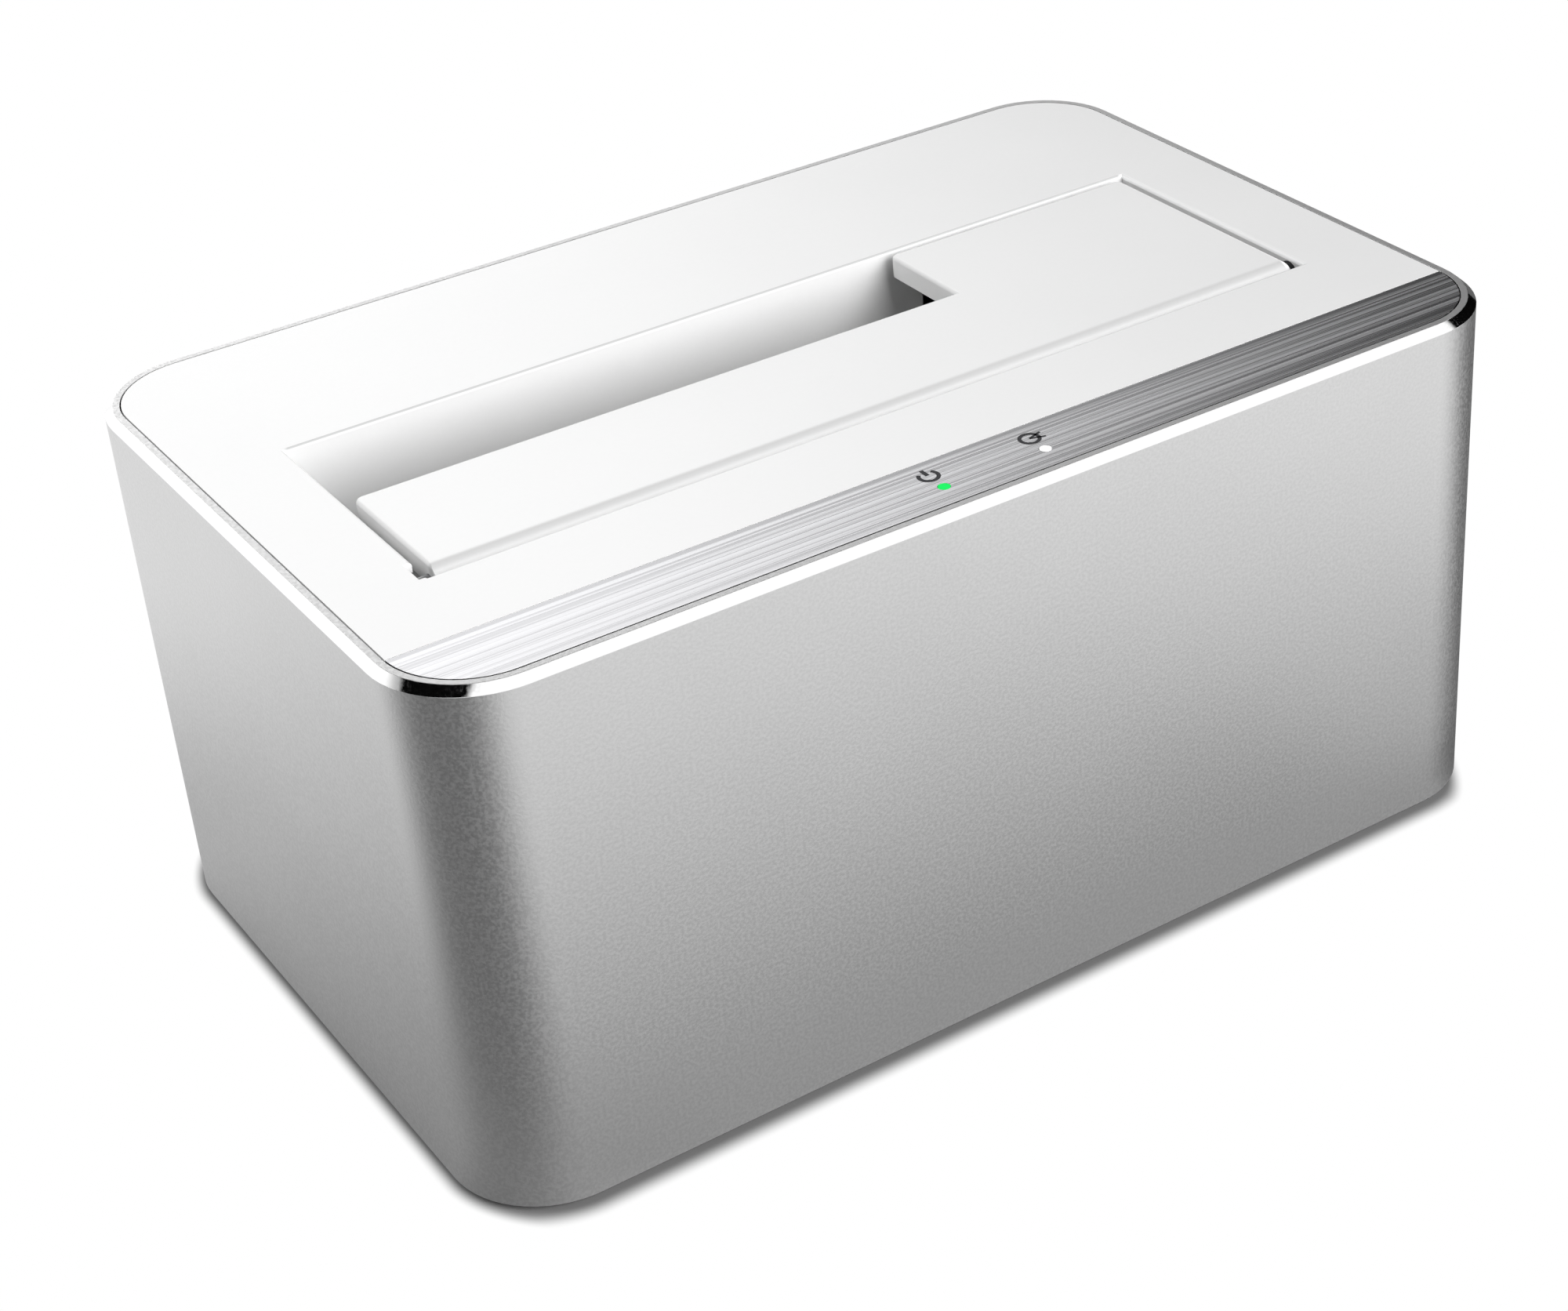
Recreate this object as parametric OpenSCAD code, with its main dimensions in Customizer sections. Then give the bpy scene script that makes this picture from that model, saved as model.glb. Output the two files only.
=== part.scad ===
// Hard drive docking station: an aluminium sleeve round a white top, whose sprung flap closes a slot
// for full-size drives and leaves a mouth open for small ones.
// Millimetres. +Z is up, the front faces -Y, and the origin is on the table under the middle.

/* [Sleeve] */
// Distance from each end of the slot to the body's side
side_margin = 11.25; // [10:0.25:20]
// Distance from the slot to the front of the body
front_margin = 21; // [19:0.5:30]
// Distance from the slot to the back of the body
back_margin = 27.4; // [26:0.2:36]
// Radius of the upright corners
corner_r = 10.5; // [8:0.5:14]
// Wall of the sleeve
sleeve_wall = 2.4; // [2:0.1:3]
// Flat width of the rim round the top
rim_w = 0.7; // [0.4:0.1:1.2]
// Width of the bright bevel outside the rim
bevel_w = 0.9; // [0.5:0.1:1.3]
// Height of that bevel
bevel_h = 0.8; // [0.5:0.1:1.5]

/* [Top panel] */
// Thickness of the panel's plate
panel_t = 2.2; // [1.8:0.1:3]
// Gap round the panel and round the base
seat_gap = 0.15; // [0.1:0.05:0.3]
// Distance of the screw pillars from the body's sides
pillar_inset = 9.5; // [9:0.5:11]
// Radius of the screw pillars
pillar_r = 3.2; // [2.6:0.1:3.6]
// Radius at the pillars' roots
pillar_root_r = 4.2; // [3.8:0.1:5]
// Height of the pillars' flared roots
pillar_root_h = 4; // [2:0.5:6]
// Width of the stiffening ribs
rib_w = 1.2; // [0.8:0.1:1.6]
// Depth of the ribs under the panel
panel_rib_h = 4; // [2:0.5:6]

/* [Trim strip and lights] */
// Width of the brushed strip along the front
strip_d = 8.55; // [7.5:0.05:10]
// Thickness of the strip
strip_t = 0.8; // [0.5:0.1:1.2]
// Gap behind the strip
strip_gap = 0.1; // [0.05:0.05:0.2]
// Distance of each light from the middle
light_x = 5.9; // [4:0.1:12]
// Distance of the lights from the panel's front edge
light_inset = 3.15; // [2.8:0.05:4.5]
// Radius of the lights
light_r = 0.6; // [0.4:0.05:0.8]
// Radius of the light pipes under the panel
pipe_r = 0.9; // [0.9:0.05:1.2]
// Wall of the tubes that hold the light pipes
pipe_guide_wall = 0.8; // [0.6:0.1:1]
// Length of those tubes
pipe_guide_l = 10; // [5:1:20]
// Clearance of the light pipes
pipe_clear = 0.05; // [0.02:0.01:0.1]

/* [Drive slot] */
// Width of the slot
slot_w = 103.5; // [102.5:0.5:106]
// Depth of the slot, front to back
slot_d = 31.6; // [30:0.2:33]
// Round along the slot's top edge
slot_edge_r = 0.4; // [0.2:0.1:0.8]
// Walls of the slot and of the well under it
well_wall = 1.6; // [1.2:0.1:2.2]
// Depth of the slot walls that are moulded with the panel
collar_h = 14; // [13:0.5:20]
// Depth of the well's floor under the top face
well_depth = 43.4; // [36:0.2:60]
// Room under the well's floor, above the board
under_well = 4.4; // [3.5:0.1:8]
// Thickness of the well's floor
well_floor_t = 1.6; // [1.2:0.1:2]
// Overlap of the well's lip round the slot walls
lip_h = 4; // [2:0.5:6]
// Wall of the lip
lip_t = 1.4; // [1:0.1:2]
// Gap between the lip and the slot walls
lip_gap = 0.15; // [0.1:0.05:0.3]
// Radius of the well's screw lugs
lug_r = 2.4; // [2.1:0.1:3]
// Thickness of the lugs
lug_t = 3; // [2:0.5:4]
// Distance of the lugs from the middle
lug_x = 40; // [30:1:46]

/* [Flap] */
// Thickness of the flap
flap_t = 2.4; // [2.2:0.1:3]
// Gap at each end of the flap
flap_end_gap = 1.05; // [0.6:0.05:1.4]
// Gap behind the flap
flap_back_gap = 0.8; // [0.5:0.1:1.2]
// Round along the flap's top edges
flap_edge_r = 0.4; // [0.2:0.1:0.4]
// Radius of the flap's back corners
flap_corner_r = 0.9; // [0.9:0.1:1.5]
// Radius of the rolled front edge, which is the hinge barrel
barrel_r = 2; // [1.9:0.05:2.4]
// Gap between the barrel and the slot's front wall
hinge_gap = 0.3; // [0.2:0.05:0.6]
// Width of the mouth that the flap leaves for small drives
mouth_w = 71.05; // [70.5:0.05:74]
// Depth of that mouth
mouth_d = 13.4; // [12:0.1:15]
// Depth of each bearing in the slot's end walls
bearing_l = 2.4; // [2:0.1:3]
// Wall round the bearings
bearing_wall = 1.1; // [0.8:0.1:1.4]
// Width of the open notch beside the flap's left end
notch_w = 0.9; // [0.5:0.1:1.2]
// Reach of that notch behind the hinge
notch_back = 1.1; // [1:0.1:1.6]
// Width of each stop tab behind the flap
tab_w = 6; // [4:0.5:8]
// Reach of the stop tabs past the slot's back wall
tab_reach = 0.8; // [0.5:0.1:1.1]
// Thickness of the stop tabs
tab_t = 1.4; // [1:0.1:1.4]
// Room round the stop tabs
tab_gap = 0.3; // [0.3:0.05:0.5]
// Depth of the ribs under the flap
flap_rib_h = 1.1; // [0.6:0.1:1.2]

/* [Hinge rod, bushes and spring] */
// Radius of the rod inside the barrel
rod_r = 0.75; // [0.6:0.05:0.8]
// Clearance of the rod in the barrel
rod_clear = 0.02; // [0.01:0.01:0.04]
// Radius of the bushes that the rod turns in
bush_r = 1.4; // [1.2:0.05:1.6]
// Running clearance of the rod in the bushes
bush_clear = 0.05; // [0.02:0.01:0.1]
// Room beyond each end of the rod in its bearing
rod_end_gap = 0.4; // [0.3:0.1:0.8]
// Turns of the spring
spring_turns = 6; // [4:1:8]
// Thickness of the spring's wire
spring_wire = 0.4; // [0.3:0.05:0.4]
// Gap between the spring's turns
spring_gap = 0.5; // [0.45:0.05:0.8]
// Clearance inside and outside the coil
coil_clear = 0.12; // [0.1:0.01:0.15]
// Distance of the spring from the flap's end
spring_in = 14.7; // [9:0.1:26]
// Length of the leg under the flap
spring_leg = 8; // [5:0.5:11]

/* [Socket for the drives] */
// Distance of the socket left of the slot's middle
sata_offset = 20.7; // [19:0.1:22]
// Distance of the socket from the slot's back wall
sata_from_back = 3.85; // [3.7:0.05:5]
// Length of the socket
sata_w = 40; // [38:0.5:44]
// Thickness of the socket
sata_d = 6; // [5.4:0.1:6.4]
// Height of the socket above the well's floor
sata_reach = 5; // [4:0.1:6]
// Depth of the socket's two keyed slots
sata_slot_depth = 6; // [4:0.5:8]
// Width of those slots
sata_slot_d = 1.8; // [1.5:0.1:2]
// Spacing of the contacts
sata_pitch = 1.27; // [1.2:0.01:1.3]
// Room round the socket in the well's floor
sata_clear = 0.4; // [0.3:0.1:0.8]

/* [Board] */
// Thickness of the circuit board
board_t = 1.6; // [1.2:0.1:2]
// Gap between the board's edge and the sleeve, front and back
board_gap = 0.7; // [0.5:0.1:1.2]
// Distance of the board's ends from the sleeve
board_end = 10.8; // [10.5:0.1:16]
// Height of the posts that carry the board
post_h = 5.4; // [4:0.2:6]
// Radius of the posts
post_r = 2.8; // [2.4:0.1:3.2]
// Distance of the posts from the board's ends
post_inset_x = 5.8; // [4:0.2:8]
// Distance of the posts from the board's front and back edges
post_inset_y = 9.9; // [8:0.1:14]

/* [Back sockets] */
// How far the sockets sit inside the back face
socket_recess = 0.5; // [0.2:0.1:1.5]
// Room round the sockets and the button in the sleeve
socket_clear = 0.3; // [0.2:0.05:0.5]
// Distance of the data socket from the board's left end
usb_end = 35.8; // [30:0.2:40]
// Width of the data socket
usb_w = 12; // [11.5:0.1:13]
// Height of the data socket
usb_h = 13; // [12.5:0.1:14]
// Length of the data socket
usb_l = 17; // [14:0.5:19]
// Radius of the data socket's corners
usb_round = 1; // [0.6:0.1:1.6]
// Distance of the power socket from the board's right end
jack_end = 37.8; // [32:0.2:40]
// Width of the power socket
jack_w = 9; // [8.9:0.1:10]
// Height of the power socket
jack_h = 11; // [10.5:0.1:12]
// Length of the power socket's block
jack_l = 12; // [10:0.5:16]
// Radius of the power socket's bore
jack_bore_r = 3.2; // [2.9:0.1:3.5]
// Radius of the round nose round the bore
jack_nose_r = 4.3; // [4:0.1:4.4]
// Radius of the power socket's pin
jack_pin_r = 1.05; // [0.8:0.05:1.3]

/* [Power button] */
// Distance of the button from the board's right end
button_end = 16.8; // [15:0.2:20]
// Radius of the button
button_r = 3.8; // [3:0.1:4.2]
// Width of the flange that holds the button in
button_flange = 0.7; // [0.6:0.1:0.9]
// Thickness of that flange
button_flange_t = 1; // [0.8:0.1:1.4]
// How far the button sits inside the back face
button_recess = 0.3; // [0.1:0.1:0.6]
// How far the button is pressed
button_travel = 1.2; // [0.8:0.1:1.5]
// Room between the pressed button and the switch
button_gap = 1; // [0.5:0.1:2]
// Depth of the hollow in the button's face
button_dish = 0.4; // [0.2:0.1:0.6]
// Width of the switch
switch_w = 8.4; // [8:0.1:9]
// Length of the switch
switch_l = 9; // [7:0.5:11]
// Radius of the switch's plunger
plunger_r = 1.5; // [1.2:0.1:2]
// Clearance of the plunger
plunger_clear = 0.08; // [0.05:0.01:0.1]

/* [Base, feet and screws] */
// Thickness of the base
base_t = 2; // [1.8:0.1:3]
// Height of the feet under the base
foot_proud = 0.6; // [0.4:0.1:1.5]
// Radius of the feet
foot_r = 5; // [4:0.5:6]
// Depth of the feet in the base
foot_set = 0.8; // [0.5:0.1:1]
// Distance of the feet from the body's ends
foot_inset_x = 23; // [21:1:28]
// Distance of the feet from the body's front and back
foot_inset_y = 12; // [11:1:16]
// Height of the base's screw bosses
boss_h = 2; // [1.6:0.1:3]
// Radius of those bosses
boss_r = 4.2; // [3.8:0.1:4.6]
// Radius of the base screws
base_screw_r = 1.25; // [1:0.05:1.4]
// Length of the base screws in the pillars
base_screw_l = 10; // [6:1:14]
// Radius of the board and well screws
small_screw_r = 0.95; // [0.8:0.05:1]
// Length of the small screws in their posts
small_screw_l = 4; // [3:0.5:4.5]
// Depth of the base screws' heads in the base
head_sink = 0.5; // [0.3:0.1:0.8]
// Clearance round a screw in its hole
screw_clear = 0.02; // [0.01:0.01:0.05]
// Extra radius of a hole that a screw passes through
screw_pass = 0.3; // [0.2:0.1:0.5]
// Vents in the base, in each of two groups
vent_count = 7; // [4:1:8]
// Width of a vent
vent_w = 2; // [1.5:0.1:2.2]
// Length of a vent
vent_l = 18; // [10:1:22]

/* [Hidden] */
$fn = 64;
// How far a cutting shape runs past the face that it cuts
cut = 0.5;
// Gap round a piece that is pressed into another
fit_gap = 0.05;
// Heads of the screws: radius and height as multiples of the screw's radius
head_r_ratio = 2.1;
head_h_ratio = 1.4;

// Overall size
body_w = slot_w + 2 * side_margin;
body_d = slot_d + front_margin + back_margin;
rim = rim_w + bevel_w;

// Heights, from the table up
base_top = foot_proud + base_t;
board_z = base_top + post_h;
board_top = board_z + board_t;
floor_z = board_top + under_well;
floor_top = floor_z + well_floor_t;
body_top = floor_top + well_depth;
panel_z = body_top - panel_t;
strip_z = body_top - strip_t;
collar_z = body_top - collar_h;
lug_top = collar_z + lip_h;
lug_z = lug_top - lug_t;
boss_top = base_top + boss_h;

// Places in plan
panel_front = -body_d / 2 + rim + seat_gap;
strip_line = panel_front + strip_d;
light_y = panel_front + light_inset;
slot_back = body_d / 2 - back_margin;
slot_front = slot_back - slot_d;
lug_bite = 0.4;
lug_out = well_wall + lip_gap + lip_t + lug_r - lug_bite;
pillar_x = body_w / 2 - pillar_inset;
pillar_y = body_d / 2 - pillar_inset;
foot_x = body_w / 2 - foot_inset_x;
foot_y = body_d / 2 - foot_inset_y;
board_w = body_w - 2 * (sleeve_wall + board_end);
board_d = body_d - 2 * (sleeve_wall + board_gap);
post_x = board_w / 2 - post_inset_x;
post_y = board_d / 2 - post_inset_y;

// Flap and hinge
hinge_y = slot_front + hinge_gap + barrel_r;
hinge_z = body_top - barrel_r;
flap_end = slot_w / 2 - flap_end_gap;
flap_back = slot_back - flap_back_gap;
flap_under = body_top - flap_t;
mouth_x = mouth_w - slot_w / 2;
mouth_y = slot_back - mouth_d;
rod_end = slot_w / 2 + bearing_l - rod_end_gap;
bearing_r = bush_r + fit_gap;
tab_root = 2.5;
tab_drop = 0.1;
tab_top = min(panel_z - tab_gap, flap_under - tab_drop);
tab_tip = slot_back + tab_reach;
tab_xs = [mouth_x + 0.25 * (flap_end - mouth_x), mouth_x + 0.75 * (flap_end - mouth_x)];
// Radius of the circle that a tab's lower corner sweeps, and how deep that cuts into the back wall
tab_sweep_r = norm([tab_tip - hinge_y, hinge_z - tab_top + tab_t]);
tab_sweep_z = hinge_z - sqrt(pow(tab_sweep_r, 2) - pow(slot_back - hinge_y, 2));

// Spring: its place, its coil, the pocket for it in the barrel, and the slope of the leg under the flap
spring_x = flap_end - spring_in;
coil_r = rod_r + coil_clear + spring_wire / 2;
pocket_r = coil_r + spring_wire / 2 + coil_clear;
spring_pitch = spring_wire + spring_gap;
spring_l = spring_turns * spring_pitch;
pocket_l = spring_l + spring_wire + 2 * spring_gap;
leg_rise = hinge_z - coil_r;
leg_slope = asin((flap_under - spring_wire / 2 - tab_gap / 2 - leg_rise) / spring_leg);
anchor_depth = well_wall * 0.75;
rings_per_turn = 8;
wire_sides = 6;

// Sockets
sata_x = -sata_offset;
sata_y = slot_back - sata_from_back;
sata_top = floor_top + sata_reach;
usb_x = usb_end - board_w / 2;
jack_x = board_w / 2 - jack_end;
button_x = board_w / 2 - button_end;
back_face = body_d / 2;
socket_face = back_face - socket_recess;
inner_back = back_face - sleeve_wall;
usb_mid = board_top + usb_h / 2;
jack_mid = board_top + jack_h * 0.58;
switch_mid = board_top + button_r + button_flange + socket_clear;
flange_back = inner_back - socket_clear - button_flange_t;
switch_face = flange_back - button_travel - button_gap;

// Extrudes an outline drawn across X and Z along Y
module along_y(y0, y1) {
  translate([0, y1, 0]) rotate([90, 0, 0]) linear_extrude(y1 - y0) children();
}

// Extrudes an outline drawn across Y and Z along X
module along_x(x0, x1) {
  translate([x0, 0, 0]) rotate([90, 0, 90]) linear_extrude(x1 - x0) children();
}

// Upright block between two corners
module block(x0, x1, y0, y1, z0, z1) {
  translate([x0, y0, z0]) cube([x1 - x0, y1 - y0, z1 - z0]);
}

// Flat rectangle with round corners
module round_rect(w, d, r) {
  square([w - 2 * r, d], center = true);
  square([w, d - 2 * r], center = true);
  for (x = [-1, 1], y = [-1, 1])
    translate([x * (w / 2 - r), y * (d / 2 - r)]) circle(r);
}

// Plate that follows the body's outline, inset from it
module inset_plate(inset, z0, z1) {
  translate([0, 0, z0])
    linear_extrude(z1 - z0)
      round_rect(body_w - 2 * inset, body_d - 2 * inset, corner_r - inset);
}

// Block of the slot's outline, grown on all sides
module slot_block(grow, z0, z1) {
  block(-slot_w / 2 - grow, slot_w / 2 + grow, slot_front - grow, slot_back + grow, z0, z1);
}

// Round bar on the hinge's axis
module hinge_bar(r, x0, x1) {
  translate([x0, hinge_y, hinge_z]) rotate([0, 90, 0]) cylinder(r = r, h = x1 - x0);
}

// Puts a shape at all four corners of a rectangle
module at_corners(x, y) {
  for (sx = [-1, 1], sy = [-1, 1])
    translate([sx * x, sy * y, 0]) children();
}

// Puts a shape at the well's four screws
module at_lugs() {
  for (x = [-lug_x, lug_x], y = [slot_front - lug_out, slot_back + lug_out])
    translate([x, y, 0]) children();
}

// Screw that points up from the underside of its head
module screw_up(r, l) {
  head_r = r * head_r_ratio;
  head_h = r * head_h_ratio;
  translate([0, 0, -head_h]) cylinder(r = head_r, h = head_h);
  cylinder(r = r - screw_clear, h = l);
}

// Points of an arc in an outline
function arc(cx, cy, r, from, to, steps = 4) = [
  for (i = [0:steps])
    let (a = from + (to - from) * i / steps) [cx + r * cos(a), cy + r * sin(a)]
];

// Outline of a block whose two top edges are rounded
function crowned(a0, a1, z0, z1, r) = concat(
  [[a0, z0], [a1, z0]],
  arc(a1 - r, z1 - r, r, 0, 90),
  arc(a0 + r, z1 - r, r, 90, 180)
);

// Outline of an opening whose sides flare into a rounded top edge
function flared(a0, a1, z0, z1, r) = concat(
  [[a0, z0], [a1, z0]],
  arc(a1 + r, z1 - r, r, 180, 90),
  [[a1 + r, z1 + cut], [a0 - r, z1 + cut]],
  arc(a0 - r, z1 - r, r, 90, 0)
);

// Rounded block of the body's outline, with the bevel round its top
module bevelled_body() {
  side_z = body_top - bevel_h;
  straight_x = body_w / 2 - corner_r;
  straight_y = body_d / 2 - corner_r;
  function outline(half) = [
    [-half, foot_proud], [half, foot_proud], [half, side_z],
    [half - bevel_w, body_top], [bevel_w - half, body_top], [-half, side_z]
  ];
  along_y(-straight_y, straight_y) polygon(outline(body_w / 2));
  along_x(-straight_x, straight_x) polygon(outline(body_d / 2));
  at_corners(straight_x, straight_y) {
    translate([0, 0, foot_proud]) cylinder(r = corner_r, h = side_z - foot_proud);
    translate([0, 0, side_z]) cylinder(r1 = corner_r, r2 = corner_r - bevel_w, h = bevel_h);
  }
}

module sleeve() {
  color("silver") difference() {
    bevelled_body();
    inset_plate(sleeve_wall, foot_proud - cut, body_top + cut);
    inset_plate(rim, panel_z, body_top + cut);
    inset_plate(rim, foot_proud - cut, base_top);
    along_y(inner_back - cut, back_face + cut) {
      translate([usb_x, usb_mid])
        round_rect(usb_w + 2 * socket_clear, usb_h + 2 * socket_clear, 2 * socket_clear);
      translate([jack_x, jack_mid]) circle(jack_nose_r + socket_clear);
      translate([button_x, switch_mid]) circle(button_r + socket_clear);
    }
  }
}

// Bearings under the panel, outside the slot's end walls
module bearing_bosses() {
  intersection() {
    for (side = [-1, 1])
      hinge_bar(bearing_r + bearing_wall,
        side < 0 ? -slot_w / 2 - bearing_l - bearing_wall : slot_w / 2 + well_wall / 2,
        side < 0 ? -slot_w / 2 - well_wall / 2 : slot_w / 2 + bearing_l + bearing_wall);
    block(-body_w, body_w, -body_d, body_d, 0, panel_z + panel_t / 4);
  }
}

// Openings in the panel that the flap and its spring work in
module flap_openings() {
  hinge_bar(bearing_r, -slot_w / 2 - bearing_l, -slot_w / 2 + cut);
  hinge_bar(bearing_r, slot_w / 2 - cut, slot_w / 2 + bearing_l);
  block(-slot_w / 2 - notch_w, -slot_w / 2 + cut, slot_front, hinge_y + notch_back,
    hinge_z - bush_r, body_top + cut);
  for (x = tab_xs)
    block(x - tab_w / 2 - tab_gap, x + tab_w / 2 + tab_gap, slot_back - cut, slot_back + well_wall + cut,
      tab_sweep_z - tab_gap, panel_z);
  translate([spring_x - spring_l / 2, slot_front + cut, leg_rise])
    rotate([90, 0, 0]) cylinder(r = spring_wire / 2 + coil_clear, h = well_wall + 2 * cut);
}

module top_panel() {
  pipe_guide_r = pipe_r + pipe_clear + pipe_guide_wall;
  color("white") difference() {
    union() {
      inset_plate(rim + seat_gap, panel_z, body_top);
      slot_block(well_wall, collar_z, panel_z + panel_t / 4);
      bearing_bosses();
      at_corners(pillar_x, pillar_y) {
        translate([0, 0, boss_top]) cylinder(r = pillar_r, h = panel_z - boss_top + panel_t / 4);
        translate([0, 0, panel_z - pillar_root_h])
          cylinder(r1 = pillar_r, r2 = pillar_root_r, h = pillar_root_h);
      }
      at_lugs() translate([0, 0, lug_top]) cylinder(r = lug_r, h = panel_z - lug_top + panel_t / 4);
      for (x = [-light_x, light_x])
        translate([x, light_y, panel_z - pipe_guide_l]) cylinder(r = pipe_guide_r, h = pipe_guide_l);
      for (y = [-pillar_y, pillar_y])
        block(-pillar_x, pillar_x, y - rib_w / 2, y + rib_w / 2, panel_z - panel_rib_h, panel_z);
    }
    intersection() {
      along_y(-body_d, body_d)
        polygon(flared(-slot_w / 2, slot_w / 2, collar_z - cut, body_top, slot_edge_r));
      along_x(-body_w, body_w)
        polygon(flared(slot_front, slot_back, collar_z - cut, body_top, slot_edge_r));
    }
    flap_openings();
    block(-body_w, body_w, -body_d, strip_line, strip_z, body_top + cut);
    at_corners(pillar_x, pillar_y)
      translate([0, 0, boss_top - cut]) cylinder(r = base_screw_r, h = base_screw_l + 2 * cut);
    at_lugs() translate([0, 0, lug_top - cut]) cylinder(r = small_screw_r, h = small_screw_l + 2 * cut);
    for (x = [-light_x, light_x]) translate([x, light_y, 0]) {
      translate([0, 0, panel_z - pipe_guide_l - cut])
        cylinder(r = pipe_r + pipe_clear, h = pipe_guide_l + cut);
      cylinder(r = light_r + pipe_clear, h = body_top);
    }
  }
}

module trim_strip() {
  color("lightsteelblue") difference() {
    intersection() {
      inset_plate(rim + seat_gap, strip_z, body_top);
      block(-body_w, body_w, -body_d, strip_line - strip_gap, strip_z - cut, body_top + cut);
    }
    for (x = [-light_x, light_x])
      translate([x, light_y, strip_z - cut]) cylinder(r = light_r + pipe_clear, h = strip_t + 2 * cut);
  }
}

// Clear rod that carries the light of a lamp on the board up to the strip
module light_pipe(x) {
  foot = board_top + led_h + led_gap;
  translate([x, light_y, 0]) {
    translate([0, 0, foot]) cylinder(r = pipe_r, h = panel_z - foot);
    translate([0, 0, panel_z - cut]) cylinder(r = light_r, h = panel_t + cut);
    translate([0, 0, panel_z - pipe_guide_l - pipe_collar_t])
      cylinder(r = pipe_r + pipe_guide_wall, h = pipe_collar_t);
  }
}

module power_light_pipe() {
  color("palegreen") light_pipe(-light_x);
}

module activity_light_pipe() {
  color("whitesmoke") light_pipe(light_x);
}

// Flap outline seen from its end: plate, rolled front edge and rounded back edge
module flap_side(back) {
  translate([hinge_y, hinge_z]) circle(barrel_r);
  polygon(concat(
    [[hinge_y, flap_under], [back, flap_under]],
    arc(back - flap_edge_r, body_top - flap_edge_r, flap_edge_r, 0, 90),
    [[hinge_y, body_top]]
  ));
}

// Disc that rounds a back corner of the flap, with the same round along its top edge
module flap_corner(x, y) {
  translate([x, y, 0]) rotate_extrude() polygon(concat(
    [[0, flap_under], [flap_corner_r, flap_under]],
    arc(flap_corner_r - flap_edge_r, body_top - flap_edge_r, flap_edge_r, 0, 90),
    [[0, body_top]]
  ));
}

// Plate of the flap between two ends, without its square back corners
module flap_plate(x0, x1, front, back) {
  difference() {
    intersection() {
      along_x(x0, x1) flap_side(back);
      along_y(front, body_d)
        polygon(crowned(x0, x1, hinge_z - 2 * barrel_r, body_top, flap_edge_r));
    }
    for (x = [x0, x1])
      block(x - flap_corner_r, x + flap_corner_r, back - flap_corner_r, back + cut, 0, body_top + cut);
  }
  for (x = [x0 + flap_corner_r, x1 - flap_corner_r])
    flap_corner(x, back - flap_corner_r);
}

module drive_flap() {
  color("white") difference() {
    union() {
      flap_plate(-flap_end, flap_end, -body_d, mouth_y);
      flap_plate(mouth_x, flap_end, hinge_y + barrel_r, flap_back);
      for (x = tab_xs) {
        block(x - tab_w / 2, x + tab_w / 2, flap_back - tab_root, tab_tip, tab_top - tab_t, tab_top);
        block(x - tab_w / 2, x + tab_w / 2, flap_back - tab_root, flap_back,
          tab_top - tab_t, flap_under + cut);
      }
      for (x = [-0.8, -0.4, 0, 0.2] * flap_end)
        block(x - rib_w / 2, x + rib_w / 2, hinge_y, mouth_y - flap_edge_r - rib_w,
          flap_under - flap_rib_h, flap_under + cut);
    }
    hinge_bar(rod_r + rod_clear, -flap_end - cut, flap_end + cut);
    hinge_bar(pocket_r, spring_x - pocket_l / 2, spring_x + pocket_l / 2);
    block(spring_x - pocket_l / 2, spring_x + pocket_l / 2, hinge_y - 2 * barrel_r, hinge_y + 2 * barrel_r,
      hinge_z - 2 * barrel_r, flap_under);
  }
}

module hinge_rod() {
  color("gainsboro") hinge_bar(rod_r, -rod_end, rod_end);
}

// Two bushes in the slot's end walls, the left one behind the notch
module hinge_bushes() {
  color("black") difference() {
    union() {
      hinge_bar(bush_r, -slot_w / 2 - bearing_l, -slot_w / 2 - notch_w);
      hinge_bar(bush_r, slot_w / 2, slot_w / 2 + bearing_l);
    }
    hinge_bar(rod_r + bush_clear, -slot_w, slot_w);
  }
}

// Middle line of the torsion spring: a leg held in the slot's front wall, the coil, and a leg that
// lies under the flap
function coil_point(turn) = let (a = 270 + (360 * spring_turns + leg_slope) * turn / spring_turns) [
  spring_x - spring_l / 2 + spring_pitch * turn,
  hinge_y + coil_r * cos(a),
  hinge_z + coil_r * sin(a)
];
spring_start = coil_point(0);
spring_end = coil_point(spring_turns);
spring_path = concat(
  [[spring_start.x, slot_front - anchor_depth, spring_start.z]],
  [for (i = [0:spring_turns * rings_per_turn]) coil_point(i / rings_per_turn)],
  [spring_end + spring_leg * [0, cos(leg_slope), sin(leg_slope)]]
);

// One ring of the wire's skin, square to the path and turned to the hinge's axis
function wire_ring(path, i) =
  let (
    last = len(path) - 1,
    way = path[min(i + 1, last)] - path[max(i - 1, 0)],
    ahead = way / norm(way),
    flat = [1, 0, 0] - ahead.x * ahead,
    side = flat / norm(flat),
    up = cross(ahead, side)
  )
  [for (k = [0:wire_sides - 1])
    let (a = 360 * k / wire_sides)
    path[i] + spring_wire / 2 * (cos(a) * side + sin(a) * up)];

// Tube along a path, closed at both ends
module wire(path) {
  n = wire_sides;
  rings = len(path);
  points = [for (i = [0:rings - 1]) each wire_ring(path, i)];
  walls = [
    for (i = [0:rings - 2], k = [0:n - 1])
      let (a = i * n + k, b = i * n + (k + 1) % n)
        each [[a, b, b + n], [a, b + n, a + n]]
  ];
  ends = [
    for (k = [1:n - 2])
      each [[0, k + 1, k], [(rings - 1) * n, (rings - 1) * n + k, (rings - 1) * n + k + 1]]
  ];
  polyhedron(points, [for (f = concat(walls, ends)) [f[0], f[2], f[1]]]);
}

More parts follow.
